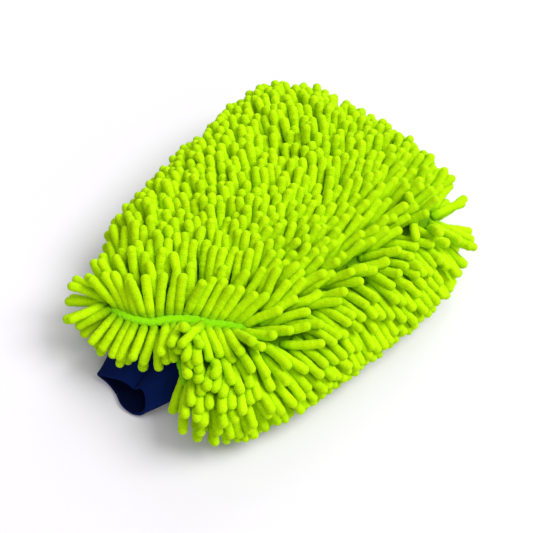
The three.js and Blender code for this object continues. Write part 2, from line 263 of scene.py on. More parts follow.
def cuff_middle():
    """The cuff's middle surface, as rows from the wrist to the free edge."""
    edge = spline(CUFF_EDGE, CUFF_AROUND, closed=True)
    wrist = spline(np.insert(WRIST_RING, 1, WRIST_Y, axis=1), CUFF_AROUND, closed=True)
    share = np.linspace(0, 1, CUFF_ALONG)[:, None, None]
    ease = share * 0.65 + 0.35 * smooth(share)
    rows = mix(wrist[None], edge[None], ease)
    rows[..., 1] = mix(wrist[None], edge[None], share)[..., 1]
    turning = np.roll(wrist, -1, 0) - np.roll(wrist, 1, 0)
    outward = unit(np.stack([turning[:, 2], np.zeros(CUFF_AROUND), -turning[:, 0]], 1))
    swell = np.sin(np.pi * share) * 2.5 * MM
    around = 3 * np.arange(CUFF_AROUND)[None, :, None] * 2 * np.pi / CUFF_AROUND
    ripple = 0.7 * MM * np.sin(9 * share + around)
    return rows + outward[None] * (swell + ripple * smooth(share))


def outward_normals(rows):
    """Outward normals of a tube given as rows of rings, whose tops are a quarter of the way round."""
    along = np.gradient(rows, axis=0)
    across = np.roll(rows, -1, 1) - np.roll(rows, 1, 1)
    normals = unit(np.cross(across, along))
    return -normals if normals[:, CUFF_AROUND // 4, 2].mean() < 0 else normals


CUFF_ROWS = cuff_middle()
CUFF_OUT = outward_normals(CUFF_ROWS)

# ---- meshes from arrays


def new_object(name, mesh):
    obj = bpy.data.objects.new(name, mesh)
    bpy.context.scene.collection.objects.link(obj)
    return obj


def set_uv(mesh, name, values):
    mesh.uv_layers.new(name=name).data.foreach_set("uv", np.asarray(values, np.float32).ravel())


def mesh_object(name, verts, quads, tris=None, uv=None, attributes=None):
    """A smooth mesh from numpy arrays. uv has one row for each corner, quads first."""
    tris = np.zeros((0, 3), int) if tris is None else tris
    mesh = bpy.data.meshes.new(name)
    mesh.vertices.add(len(verts))
    mesh.vertices.foreach_set("co", np.asarray(verts, np.float32).ravel())
    corners = np.concatenate([quads.ravel(), tris.ravel()]).astype(np.int32)
    starts = np.concatenate([np.arange(len(quads)) * 4, 4 * len(quads) + np.arange(len(tris)) * 3])
    mesh.loops.add(len(corners))
    mesh.loops.foreach_set("vertex_index", corners)
    mesh.polygons.add(len(starts))
    mesh.polygons.foreach_set("loop_start", starts.astype(np.int32))
    mesh.update(calc_edges=True)
    mesh.validate()
    mesh.shade_smooth()
    if uv is not None:
        set_uv(mesh, "OFBake", uv)
    for key, values in (attributes or {}).items():
        mesh.attributes.new(key, "FLOAT", "POINT").data.foreach_set("value", np.asarray(values, np.float32))
    return new_object(name, mesh)


def ring_quads(rings, sides):
    """Faces between the rings of an open tube."""
    k, j = np.indices((rings - 1, sides))
    n = (j + 1) % sides
    corners = [k * sides + j, k * sides + n, (k + 1) * sides + n, (k + 1) * sides + j]
    return np.stack(corners, -1).reshape(-1, 4)


def torus_quads(rings):
    """Faces of rings where the last is joined to the first, and the ring and place of each face."""
    count, around = rings.shape[:2]
    k, j = np.indices((count, around))
    n, m = (k + 1) % count, (j + 1) % around
    corners = [k * around + j, n * around + j, n * around + m, k * around + m]
    return np.stack(corners, -1).reshape(-1, 4), k, j


def tube_arrays(centres, radii, sides):
    """Closed tubes round centre lines of shape (tubes, rings, 3): vertices, quads and end triangles."""
    count, rings = centres.shape[:2]
    tangent = unit(np.gradient(centres, axis=1))
    helper = np.where(np.abs(tangent[:, 0, 2:3]) < 0.8, [[0.0, 0.0, 1.0]], [[1.0, 0.0, 0.0]])
    across = np.empty_like(centres)
    across[:, 0] = unit(np.cross(tangent[:, 0], helper))
    for k in range(1, rings):
        carried = across[:, k - 1]
        across[:, k] = unit(carried - (carried * tangent[:, k]).sum(-1, keepdims=True) * tangent[:, k])
    other = np.cross(tangent, across)
    angle = 2 * np.pi * np.arange(sides) / sides
    ring = (across[:, :, None] * np.cos(angle)[None, None, :, None]
            + other[:, :, None] * np.sin(angle)[None, None, :, None])
    body = centres[:, :, None] + ring * radii[:, :, None, None]
    poles = centres[:, [0, -1]]
    block = rings * sides + 2
    verts = np.concatenate([body.reshape(count, -1, 3), poles], 1).reshape(-1, 3)
    quad = ring_quads(rings, sides)
    s = np.arange(sides)
    m = (s + 1) % sides
    last = (rings - 1) * sides
    tri = np.concatenate([np.stack([m, s, np.full(sides, rings * sides)], -1),
                          np.stack([last + s, last + m, np.full(sides, rings * sides + 1)], -1)])
    shift = (np.arange(count) * block)[:, None, None]
    return verts, (quad[None] + shift).reshape(-1, 4), (tri[None] + shift).reshape(-1, 3)


def tube_uv(count, rings, sides):
    """Each tube has its own cell of the UV square: round it across, along it up."""
    columns = math.ceil(math.sqrt(count))
    k, j = np.indices((rings - 1, sides))
    quad = np.stack([j, k, j + 1, k, j + 1, k + 1, j, k + 1], -1).reshape(-1, 4, 2).astype(float)
    s = np.arange(sides)
    start = np.stack([s + 1, 0 * s, s, 0 * s, s + 0.5, 0 * s - 0.6], -1).reshape(-1, 3, 2)
    end = np.stack([s, 0 * s + rings - 1, s + 1, 0 * s + rings - 1, s + 0.5, 0 * s + rings - 0.4], -1)
    tri = np.concatenate([start, end.reshape(-1, 3, 2)]).astype(float)
    scale = np.array([sides, rings + 1.0])
    quad = (quad + [0, 1]) / scale * 0.94 + 0.03
    tri = (tri + [0, 1]) / scale * 0.94 + 0.03
    cell = np.arange(count)
    corner = np.stack([cell % columns, cell // columns], -1)[:, None, None, :]
    return np.concatenate([((quad[None] + corner) / columns).reshape(-1, 2),
                           ((tri[None] + corner) / columns).reshape(-1, 2)])


def tubes_object(name, centres, radii, sides, attributes):
    """Tubes as one object. attributes have a value for each ring of each tube."""
    verts, quads, tris = tube_arrays(centres, radii, sides)
    uv = tube_uv(centres.shape[0], centres.shape[1], sides)
    spread = {}
    for key, values in attributes.items():
        rows = np.repeat(values[:, :, None], sides, 2).reshape(len(values), -1)
        spread[key] = np.concatenate([rows, values[:, [0, -1]]], 1).ravel()
    return mesh_object(name, verts, quads, tris, uv, spread)


# ---- where the noodles grow

FINE_STEPS = 240                # cells each way that the cloth's area is measured with


def surface_samples(count):
    """Seeded points spread evenly by area over the ground cloth, with outward normals."""
    p = pouch_grid(0.02, FINE_STEPS, 0, 2 * np.pi, FINE_STEPS)
    a, b, c, d = p[:-1, :-1], p[1:, :-1], p[1:, 1:], p[:-1, 1:]
    cross = np.cross(c - a, b - d)
    area = np.linalg.norm(cross, axis=-1).ravel()
    pick = np.searchsorted(np.cumsum(area) / area.sum(), rng.random(count))
    pick = np.clip(pick, 0, len(area) - 1)
    s, t = rng.random((2, count, 1))
    a, b, c, d = (q.reshape(-1, 3)[pick] for q in (a, b, c, d))
    point = mix(mix(a, b, s), mix(d, c, s), t)
    normal = unit(cross.reshape(-1, 3)[pick])
    outward = (normal * (point - [0, MIDDLE_Y, SEAM_Z])).sum(-1, keepdims=True)
    return point, normal * np.where(outward < 0, -1, 1)


def nearest_on_hem(p):
    """For points seen from above: distance to the hem, its nearest sample, and whether they are in front."""
    gap = p[:, None, :2] - HEM_LINE[None]
    distance = np.linalg.norm(gap, axis=-1)
    index = distance.argmin(1)
    side = np.take_along_axis(gap, index[:, None, None], 1)[:, 0]
    tangent = HEM_TANGENT[index]
    ahead = side[:, 0] * tangent[:, 1] - side[:, 1] * tangent[:, 0] > 0
    return distance.min(1), index, side, ahead


HEM_HALF_WIDTH = 2.4 * MM
TOUCH = 5.0 * MM                # least distance between the middles of two neighbours
ROOT_SPACING = 4.3 * MM
SOFTNESS = 0.86                 # how far neighbours keep apart, as a share of their radii
SHOULDER_Y = (-60, -30, 28, 74, 101)
SHOULDER_X = (34, 38, 44, 48, 56)
FAR_HUB = np.array([60, 101]) * MM

# The pile has been brushed away from the hem: its lean seen from above, in degrees from +X, by x
LEAN_X = (-90, -60, -35, -10, 8, 25, 36, 46, 60)
LEAN_ANGLE = (168, 163, 152, 135, 118, 98, 80, 62, 50)
# Past the shoulder it points right, and down to the right near the floor, by z
SIDE_Z = (12, 20, 32, 38, 42.5, 44, 45.5, 47)
SIDE_ANGLE = (-12, -12, -8, -8, -6, 6, 22, 40)
SIDE_RISE = (-0.34, -0.36, -0.30, -0.15, 0.05, 0.32, 0.50, 0.62)
# In front of the hem it falls forwards beside the cuff, by x
FRONT_X = (-60, -45, -20, 5, 20, 34, 50, 62)
FRONT_ANGLE = (-150, -135, -95, -52, -46, -44, -32, -14)
FRONT_Z = (12, 20, 28, 33, 38, 47)
FRONT_RISE = (-0.34, -0.60, -0.60, -0.30, 0.40, 0.78)
# The rows along the hem's front edge, by how far along it they grow
ROW_SHARE = (0, 0.05, 0.20, 0.32, 0.40, 0.50, 0.80, 1.0)
ROW_ANGLE = (-125, -95, -76, -60, -44, -30, -8, 14)
ROW_RISE = (-0.30, -0.32, -0.34, -0.34, -0.32, -0.22, 0.10, 0.22)
CROSSING = (0.72, -80, 0.10)    # one noodle that lies across the others: share, angle and rise
EDGE_COUNT = 6                  # noodles along the mouth's edge beside the cuff
# Two layers that fan out round the hem's left end: how low, first angle, last angle, how many
FAN = ((0.5, 178, 228, 5), (4.5, 170, 238, 6))
# Rows along the hem: how far in front of it, how low, their spacing, and the share of it that they cover.
# The first leans back, the next two hang in front, and the last is the one that lies across.
HEM_ROWS = ((-2.9, 0.0, 5.1, 1.0), (2.0, -0.8, 5.4, 1.0), (3.6, 4.2, 5.6, 0.62), (1.6, -5.0, None, 1.0))
BACK_SHARE = (0, 0.08, 0.25, 0.5, 0.7, 1)
BACK_ANGLE = (195, 176, 158, 135, 92, 58)


def headings(degrees):
    angle = np.radians(degrees)
    return np.stack([np.cos(angle), np.sin(angle)], 1)


def aims_at(degrees, rise):
    """Unit vectors with these headings from +X, and this rise for each unit of way."""
    return unit(np.column_stack([headings(degrees), rise]))


def hem_rows():
    """Roots and aims along both edges of the bare hem, round its left end and down beside the cuff."""
    roots, aims = [], []
    line, tangent = HEM_LINE[2:-2], HEM_TANGENT[2:-2]
    last = len(line) - 1
    length = np.linalg.norm(np.diff(line, axis=0), axis=1).sum()
    for row, (offset, drop, spacing, reach) in enumerate(HEM_ROWS):
        count = int(length * reach / (spacing * MM)) if spacing else 1
        place = (np.arange(count) + rng.uniform(0.35, 0.65, count)) / count * last * reach
        if not spacing:
            place = np.array([CROSSING[0] * last])
        spot, along = (sampled(place, np.arange(last + 1), field) for field in (line, tangent))
        forward = np.stack([along[:, 1], -along[:, 0]], 1)
        height = cloth_height(spot[:, 0], spot[:, 1]) - drop * MM
        share = place / last
        if row == 0:
            base = np.interp(share, BACK_SHARE, BACK_ANGLE)
            rise = 0.42 + rng.normal(0, 0.06, count)
            swing = rng.normal(0, 9, count)
        else:
            base = np.interp(share, ROW_SHARE, ROW_ANGLE)
            rise = np.interp(share, ROW_SHARE, ROW_RISE) - 0.2 * (row == 2) + rng.normal(0, 0.04, count)
            swing = rng.normal(0, 5, count)
        if not spacing:
            base, rise, swing = np.array([CROSSING[1]]), np.array([CROSSING[2]]), 0
        roots.append(np.column_stack([spot + forward * offset * MM, height]))
        aims.append(aims_at(base + swing, rise))
    for drop, first, final, count in FAN:
        angle = np.linspace(first, final, count) + rng.normal(0, 3, count)
        height = np.full(count, cloth_height(*HEM_LINE[0]) - drop * MM)
        roots.append(np.column_stack([HEM_LINE[0] + headings(angle) * 3 * MM, height]))
        aims.append(aims_at(angle, np.full(count, 0.08 - 0.06 * drop)))
    spot = spline(MOUTH_BESIDE, EDGE_COUNT + 2)[1:-1] + np.array([3, 0.5]) * MM
    roots.append(np.column_stack([spot, cloth_height(spot[:, 0], spot[:, 1])]))
    aims.append(aims_at(rng.normal(-38, 4, EDGE_COUNT), np.linspace(0.25, -0.35, EDGE_COUNT)))
    counts = [len(group) for group in roots]
    return np.concatenate(roots), np.concatenate(aims), counts[0], sum(counts[:len(HEM_ROWS)])


def slow_noise(p, scale, seed):
    """A smooth random vector field: a few seeded waves."""
    source = np.random.default_rng(seed)
    field = np.zeros_like(p)
    for _ in range(7):
        wave = source.normal(0, 1, 3) / scale
        push = source.normal(0, 1, 3)
        field += np.sin(p @ wave + source.uniform(0, 6.28))[:, None] * push
    return field / math.sqrt(7 / 2)


def noodle_aims(p, normal):
    """The way each noodle points where it leaves the cloth."""
    x, y, z = p.T / MM
    distance, index, side, ahead = nearest_on_hem(p)
    past = smooth((x - np.interp(y, SHOULDER_Y, SHOULDER_X)) / 11)[:, None]
    lean = mix(headings(np.interp(x, LEAN_X, LEAN_ANGLE)), headings(np.interp(z, SIDE_Z, SIDE_ANGLE)), past)
    rise = np.where(x > 30, np.interp(z, SIDE_Z, SIDE_RISE), 0.78 - 0.95 * smooth((40 - z) / 22))
    rise = mix(np.where(x > 0, 0.78, rise), rise, past[:, 0])
    behind = np.exp(-(distance / (16 * MM)) ** 2) * ~ahead * (z > 30)
    rise = rise - 0.30 * behind
    rise = rise - 0.15 * np.exp(-((x - 44) / 9) ** 2) * (z > 36)
    front = np.maximum(ahead * smooth((distance / MM - 1) / 5), smooth((-92 - y) / 10)) * (x < 66)
    front = (front * smooth((-52 - y) / 16))[:, None]
    lean = mix(unit(lean), headings(np.interp(x, FRONT_X, FRONT_ANGLE)), front)
    rise = mix(rise, np.interp(z, FRONT_Z, FRONT_RISE), front[:, 0])
    at_end = (index < 3) | (index > len(HEM_LINE) - 4)
    hub = (np.exp(-(distance / (26 * MM)) ** 2) * at_end)[:, None]
    lean = mix(unit(lean), unit(side), hub)
    flat = hub[:, 0] * (index < 3)
    rise = mix(rise, np.interp(z, (20, 30, 36), (-0.35, -0.15, 0.12)), flat)
    from_far = p[:, :2] - FAR_HUB
    reach = np.where(from_far.sum(1) > 0, 28, 15) * MM
    hub = (np.exp(-(np.linalg.norm(from_far, axis=1) / reach) ** 2) * (z > 22))[:, None]
    lean = unit(mix(unit(lean), unit(from_far), hub))
    rise = mix(rise, np.interp(z, (22, 34, 47), (-0.40, -0.10, 0.22)), hub[:, 0])
    outward = normal * np.where(z < 36, 0.30, 0.0)[:, None] * (1 - 0.6 * front)
    under = smooth((-normal[:, 2] - 0.55) / 0.25)[:, None]
    lean = unit(mix(lean, unit(p[:, :2]), under))
    rise = mix(rise, -0.36, under[:, 0])
    tangle = np.exp(-((x - 49) / 10) ** 2 - ((y - 62) / 20) ** 2)
    rise = rise * (1 - 0.6 * tangle)
    aim = unit(np.column_stack([lean, rise]) + outward)
    aim += slow_noise(p, 15 * MM, 5) * 0.05
    messy = rng.random((len(p), 1)) < 0.015 + 0.45 * tangle[:, None]
    aim += rng.normal(0, 1, p.shape) * np.where(messy, 0.45, 0.035)
    aim = unit(aim)
    inward = (aim * normal).sum(-1, keepdims=True)
    return unit(aim + normal * np.clip(0.22 - inward, 0, None))


SAMPLES = 42000                 # places on the cloth that are tried
# Shares of a noodle's length where its distance to the others is taken
ROOM_STOPS = np.array([0.30, 0.48, 0.66, 0.84, 1.0])
SEARCH = 36 * MM                # how far off a noodle takes room away
BACK_SLACK = 1.45               # noodles may stand this much closer to the hem's first row
FRONT_SLACK = 1.2


def pick_roots():
    """The hem's rows first, then from them outwards every spot that still has room for a noodle."""
    rows, row_aims, first_row, hem_count = hem_rows()
    point, normal = surface_samples(SAMPLES)
    distance, _, _, ahead = nearest_on_hem(point)
    top = point[:, 2] > SEAM_Z
    bare = (distance < HEM_HALF_WIDTH + 1.6 * MM) & top & (point[:, 0] < 35 * MM)
    free = ~in_mouth(point) & ~bare
    point, normal = point[free], normal[free]
    aim = noodle_aims(point, normal)
    spots = point[:, None] + aim[:, None] * (ROOM_STOPS * NOODLE_LENGTH)[None, :, None]

    x, y, z = point.T / MM
    beside_cuff = smooth((-84 - y) / 12) * smooth((34 - z) / 8) * (x > 0)
    bulge = (y < -66) & (x > 0) & (z > 32)
    touch = TOUCH * (1 + 0.30 * beside_cuff + 0.25 * (normal[:, 2] < -0.75) - 0.17 * bulge)
    gap = np.full(len(point), 1.0)

    def crowd(root, way, slack):
        near = np.nonzero((np.abs(point - root).max(1) < SEARCH) & (gap > 0))[0]
        off = spots[near] - root
        along = np.clip(off @ way, 0.22 * NOODLE_LENGTH, NOODLE_LENGTH)
        space = np.linalg.norm(off - along[..., None] * way, axis=-1).min(1) * slack
        space[np.linalg.norm(point[near] - root, axis=1) < ROOT_SPACING] = 0
        space[space < touch[near]] = 0
        gap[near] = np.minimum(gap[near], space)

    for i, (root, way) in enumerate(zip(rows, row_aims)):
        crowd(root, way, BACK_SLACK if i < first_row else FRONT_SLACK)
    chosen = []
    while gap.max() > 0:
        i = np.where(gap > 0, gap, np.inf).argmin()
        chosen.append(i)
        crowd(point[i], aim[i], 1.0)
        gap[i] = 0
    return rows, row_aims, first_row, hem_count, point[chosen], normal[chosen], aim[chosen]


# ---- how the noodles settle

def close_pairs(p, reach):
    """Pairs of points nearer than reach, by sorting them into cubes."""
    cell = np.floor((p - p.min(0)) / reach).astype(np.int64) + 1
    size = cell.max(0) + 2
    key = (cell[:, 0] * size[1] + cell[:, 1]) * size[2] + cell[:, 2]
    order = np.argsort(key, kind="stable")
    ordered = key[order]
    firsts, seconds = [], []
    for dx, dy, dz in itertools.product((-1, 0, 1), repeat=3):
        shift = (dx * size[1] + dy) * size[2] + dz
        if shift < 0:
            continue
        low = np.searchsorted(ordered, key + shift, "left")
        high = np.searchsorted(ordered, key + shift, "right")
        many = high - low
        first = np.repeat(np.arange(len(p)), many)
        offset = np.arange(many.sum()) - np.repeat(np.cumsum(many) - many, many)
        second = order[np.repeat(low, many) + offset]
        keep = first < second if shift == 0 else np.ones(len(first), bool)
        firsts.append(first[keep])
        seconds.append(second[keep])
    first, second = np.concatenate(firsts), np.concatenate(seconds)
    near = ((p[first] - p[second]) ** 2).sum(-1) < reach ** 2
    return first[near], second[near]


def push_from_cuff(p, radius):
    """Moves points out of the cuff's tube, which is taken as an ellipse at each distance along it."""
    share = np.clip((WRIST_Y - p[:, 1]) / (42 * MM), 0, 1)
    row = (share * (CUFF_ALONG - 1)).astype(int)
    low, high = CUFF_ROWS.min(1), CUFF_ROWS.max(1)
    middle, half = (low + high) / 2, (high - low) / 2 + radius
    u = (p[:, 0] - middle[row, 0]) / half[row, 0]
    w = (p[:, 2] - middle[row, 2]) / half[row, 2]
    level = np.sqrt(u ** 2 + w ** 2)
    inside = (p[:, 1] < WRIST_Y + 4 * MM) & (p[:, 1] > -130 * MM) & (level < 1)
    steep = np.stack([u / half[row, 0], w / half[row, 2]], 1)
    steep = steep / np.maximum((steep ** 2).sum(1), 1e-3)[:, None]
    move = steep * (np.maximum(level, 0.2) * (1 - level) * 0.5 * inside)[:, None]
    p[:, 0] += np.clip(move[:, 0], -1 * MM, 1 * MM)
    p[:, 2] += np.clip(move[:, 1], -1 * MM, 1 * MM)


SETTLE_STEPS = 170
PAIR_STEPS = 8                  # steps between searches for neighbours
SAG = 0.012 * MM


def settle(roots, aims, lengths, radius, steps):
    """Lets the noodles bend under their weight and push each other apart. Returns their joints."""
    count, joints = len(roots), LINKS + 1
    link = (lengths / LINKS)[:, None, None]
    x = roots[:, None] + aims[:, None] * link * np.arange(joints)[None, :, None]
    flatness = np.sqrt(1 - aims[:, 2] ** 2)
    x[:, :, 2] -= (flatness[:, None] * (np.arange(joints) / LINKS) ** 2) * 5 * MM
    curl = np.cross(aims, rng.normal(0, 1, aims.shape)) * 0.022 * link[:, 0]
    owner = np.repeat(np.arange(count), joints)
    order = np.tile(np.arange(joints), count)
    thick = np.interp(order, [0, 1, 2], [0.55, 0.78, SOFTNESS]) * np.repeat(radius, joints)
    for step in range(steps):
        if step % PAIR_STEPS == 0:
            first, second = close_pairs(x.reshape(-1, 3), 2 * NOODLE_RADIUS + 3 * MM)
            keep = owner[first] != owner[second]
            first, second = first[keep], second[keep]
            least = (thick[first] + thick[second]) * 0.97
        x[:, 1:, 2] -= SAG * np.arange(1, joints) / LINKS
        x[:, 1] += 0.20 * (roots + aims * link[:, 0] - x[:, 1])
        for k in range(2, joints):
            x[:, k] += 0.10 * (2 * x[:, k - 1] - x[:, k - 2] + curl - x[:, k])
        flat = x.reshape(-1, 3)
        gap = flat[first] - flat[second]
        distance = np.linalg.norm(gap, axis=1)
        deep = np.clip(least - distance, 0, None)
        move = gap / np.maximum(distance, 1e-9)[:, None] * (0.25 * deep)[:, None]
        for i in range(3):
            flat[:, i] += (np.bincount(first, move[:, i], len(flat))
                           - np.bincount(second, move[:, i], len(flat)))
        inside, out, size = pouch_inside(flat, NOODLE_RADIUS * 0.9)
        solid = (order > 1) & ~in_mouth(flat)
        flat += out * (inside * size * 0.5 * solid)[:, None]
        push_from_cuff(flat, NOODLE_RADIUS * 0.9)
        flat[:, 2] = np.maximum(flat[:, 2], thick * 0.98)
        x = flat.reshape(count, joints, 3)
        x[:, 0] = roots
        for k in range(1, joints):
            x[:, k] = x[:, k - 1] + unit(x[:, k] - x[:, k - 1]) * link[:, 0]
    x[:, 1:, 2] = np.maximum(x[:, 1:, 2], NOODLE_RADIUS * 1.16)
    return x


def noodle_centres(x):
    """Smooth centre lines through the joints, with rings close together at the round tips."""
    joints = x.shape[1]
    place = STOPS * (joints - 1)
    k = np.minimum(place.astype(int), joints - 2)
    t = (place - k)[None, :, None]
    padded = np.concatenate([2 * x[:, :1] - x[:, 1:2], x, 2 * x[:, -1:] - x[:, -2:-1]], 1)
    a, b, c, d = (padded[:, k + i] for i in range(4))
    return catmull_rom(a, b, c, d, t)


def noodle_radii(count, radius):
    """Ribbed, slightly lumpy radii with a narrow root and a rounded club tip."""
    share = STOPS[None]
    root = np.interp(share, [0, 0.05, 0.14], [0.76, 0.92, 1.0])
    club = 1 + 0.03 * smooth((share - 0.72) / 0.2)
    tip = np.ones(RINGS)
    tip[-len(TIP_ANGLES):] = np.cos(TIP_ANGLES)
    rib = 1 + 0.018 * (-1.0) ** np.arange(RINGS)[None]
    rib[:, -len(TIP_ANGLES):] = 1
    phase = rng.uniform(0, 6.28, (count, 2, 1))
    lumps = 1 + 0.030 * np.sin(share * 17 + phase[:, 0]) + 0.02 * np.sin(share * 41 + phase[:, 1])
    return radius[:, None] * root * club * tip * rib * lumps


# ---- node helpers for materials

def material(name, colour, roughness):
    mat = bpy.data.materials.new(name)
    mat.use_nodes = True
    shader = mat.node_tree.nodes["Principled BSDF"]
    shader.inputs["Base Color"].default_value = (*colour, 1)
    shader.inputs["Roughness"].default_value = roughness
    return mat, mat.node_tree, shader


def add(tree, kind, **values):
    node = tree.nodes.new(kind)
    for key, value in values.items():
        if hasattr(node, key):
            setattr(node, key, value)
        else:
            node.inputs[key].default_value = value
    return node


def maths(tree, operation, a, b=None):
    node = add(tree, "ShaderNodeMath", operation=operation)
    for socket, value in zip(node.inputs, (a, b)):
        if isinstance(value, (int, float)):
            socket.default_value = value
        elif value is not None:
            tree.links.new(value, socket)
    return node.outputs[0]


def noise(tree, scale, detail, roughness):
    coordinates = add(tree, "ShaderNodeTexCoord")
    node = add(tree, "ShaderNodeTexNoise", Scale=scale, Detail=detail, Roughness=roughness)
    tree.links.new(coordinates.outputs["Object"], node.inputs["Vector"])
    return node.outputs["Fac"]


def ramp(tree, factor, stops):
    node = add(tree, "ShaderNodeValToRGB")
    elements = node.color_ramp.elements
    while len(elements) < len(stops):
        elements.new(0.5)
    for element, (place, colour) in zip(elements, stops):
        element.position = place
        element.color = (*colour, 1)
    tree.links.new(factor, node.inputs["Fac"])
    return node.outputs["Color"]


def multiply(tree, a, b):
    node = add(tree, "ShaderNodeMix", data_type="RGBA", blend_type="MULTIPLY")
    node.inputs[0].default_value = 1.0
    tree.links.new(a, node.inputs[6])
    tree.links.new(b, node.inputs[7])
    return node.outputs[2]


def bump(tree, shader, height, distance, strength):
    node = add(tree, "ShaderNodeBump", Distance=distance, Strength=strength)
    tree.links.new(height, node.inputs["Height"])
    tree.links.new(node.outputs["Normal"], shader.inputs["Normal"])


def cloth_sheen(shader, weight, roughness, tint, specular):
    """The glow at the edges of cloth, and how little it shines."""
    shader.inputs["Sheen Weight"].default_value = weight
    shader.inputs["Sheen Roughness"].default_value = roughness
    shader.inputs["Sheen Tint"].default_value = (*tint, 1)
    shader.inputs["Specular IOR Level"].default_value = specular


def attribute(tree, name):
    return add(tree, "ShaderNodeAttribute", attribute_name=name).outputs["Fac"]


# The deep colour is painted shade at each noodle's root, where the pile shades it. The tip colour is a
# little darker than the middle: painted shade that tones down the highlights the tips catch.
LIME_ROOT_PAINTED_SHADE = (0.22, 0.52, 0.002)
LIME_MIDDLE = (0.55, 0.88, 0.002)
LIME_TIP_PAINTED_SHADE = (0.48, 0.79, 0.002)
LIME_CLOTH = (0.36, 0.86, 0.002)
NAVY = (0.0008, 0.0045, 0.034)
NAVY_LIGHT = (0.0020, 0.016, 0.130)
RIBS = (BODY_RINGS - 1) / 2     # on each noodle


def chenille_material():
    mat, tree, shader = material("chenille", LIME_MIDDLE, 0.88)
    along = attribute(tree, "along")
    # Painted shade by how far along the noodle: dark at the root, slightly darker again at the tip.
    colour = ramp(tree, along, [(0.0, LIME_ROOT_PAINTED_SHADE), (0.30, LIME_MIDDLE), (0.8, LIME_MIDDLE), (1.0, LIME_TIP_PAINTED_SHADE)])
    tone = ramp(tree, attribute(tree, "tone"), [(0.0, (0.86, 0.90, 0.8)), (1.0, (1.0, 1.0, 1.0))])
    colour = multiply(tree, colour, tone)
    fluff = noise(tree, 1150, 3.0, 0.65)
    # Random flecks of tone that are darker where the fuzz's bump dips: partly real tone, partly painted
    # shade.
    speckle_and_shade = ramp(tree, fluff, [(0.32, (0.74, 0.80, 0.6)), (0.60, (1.0, 1.0, 1.0))])
    colour = multiply(tree, colour, speckle_and_shade)
    tree.links.new(colour, shader.inputs["Base Color"])
    rib = maths(tree, "SINE", maths(tree, "MULTIPLY", along, 2 * math.pi * RIBS / (1 - TIP_SHARE)))
    height = maths(tree, "ADD", maths(tree, "MULTIPLY", rib, 0.12), fluff)
    bump(tree, shader, height, 0.0008, 0.8)
    cloth_sheen(shader, 0.03, 0.5, (0.75, 1.0, 0.25), 0.04)
    return mat


def knit_material(name, dark, light, pitch, sheen, depth=0.0003):
    """Fine knit: wales along and courses across, from the piece's own map in metres."""
    mat, tree, shader = material(name, light, 0.92)
    place = add(tree, "ShaderNodeUVMap", uv_map="weave")
    split = add(tree, "ShaderNodeSeparateXYZ")
    tree.links.new(place.outputs["UV"], split.inputs[0])
    turns = 2 * math.pi / pitch
    wale = maths(tree, "SINE", maths(tree, "MULTIPLY", split.outputs["X"], turns))
    lean = maths(tree, "MULTIPLY", maths(tree, "ABSOLUTE", wale), 1.4)
    course = maths(tree, "ADD", maths(tree, "MULTIPLY", split.outputs["Y"], turns * 1.3), lean)
    course = maths(tree, "SINE", course)
    height = maths(tree, "ADD", maths(tree, "MULTIPLY", maths(tree, "ABSOLUTE", wale), 0.6),
                   maths(tree, "MULTIPLY", course, 0.25))
    fluff = noise(tree, 2600, 3.0, 0.6)
    height = maths(tree, "ADD", height, maths(tree, "MULTIPLY", fluff, 0.5))
    patches = noise(tree, 90, 3.0, 0.6)
    # The weave's grooves are painted darker and its raised yarn lighter: painted shade from the relief,
    # mixed with random patches of tone.
    shade = maths(tree, "ADD", maths(tree, "MULTIPLY", height, 0.55), maths(tree, "MULTIPLY", patches, 0.35))
    colour = ramp(tree, shade, [(0.15, dark), (0.95, light)])
    # Painted shade: faces marked inside, the cuff's inner ply, are darkened to a quarter for the shade in
    # its hollow.
    inside_painted_shade = ramp(tree, attribute(tree, "inside"), [(0.0, (1.0, 1.0, 1.0)), (1.0, (0.25, 0.25, 0.25))])
    tree.links.new(multiply(tree, colour, inside_painted_shade), shader.inputs["Base Color"])
    bump(tree, shader, height, depth, 0.9)
    cloth_sheen(shader, sheen, 0.55, [min(1, 0.2 + c * 2) for c in light], 0.05)
    return mat


def thread_material(name, colour):
    mat, tree, shader = material(name, colour, 0.7)
    ply = maths(tree, "SINE", maths(tree, "MULTIPLY", attribute(tree, "along"), 900))
    # The ply's twist grooves are painted darker: painted shade from the relief, with random flecks of tone.
    shade = maths(tree, "ADD", maths(tree, "MULTIPLY", ply, 0.3), noise(tree, 1800, 2.0, 0.6))
    low = tuple(c * 0.6 for c in colour)
    tree.links.new(ramp(tree, shade, [(0.2, low), (0.8, colour)]), shader.inputs["Base Color"])
    bump(tree, shader, shade, 0.0002, 0.6)
    return mat


CHENILLE = chenille_material()
CLOTH = knit_material("ground_cloth", (0.22, 0.70, 0.002), LIME_CLOTH, 1.1 * MM, 0.05)
# Painted shade: the ground cloth under the pile is a dark green for the shade between the noodles' roots.
SHADED_PILE_BASE = knit_material("pile_base_painted_shade", (0.08, 0.24, 0.002), (0.20, 0.44, 0.002), 1.1 * MM, 0.03)
LINING = knit_material("lining", (0.30, 0.33, 0.35), (0.50, 0.54, 0.56), 0.8 * MM, 0.2)
KNIT = knit_material("knit_cuff", NAVY, NAVY_LIGHT, 1.0 * MM, 0.02)
ELASTIC = knit_material("elastic", (0.55, 0.55, 0.52), (0.80, 0.80, 0.77), 1.3 * MM, 0.1)
LIME_THREAD = thread_material("lime_thread", (0.30, 0.84, 0.006))
NAVY_THREAD = thread_material("navy_thread", (0.004, 0.014, 0.07))
GREY_THREAD = thread_material("lining_thread", (0.50, 0.54, 0.56))


def finish_piece(obj, mat, slot, *nodes):
    obj.data.materials.append(mat)
    if nodes:
        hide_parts(*nodes)


# ---- noodles

MOST_IN_PIECE = 165             # noodles in one object, so that none is too heavy to export


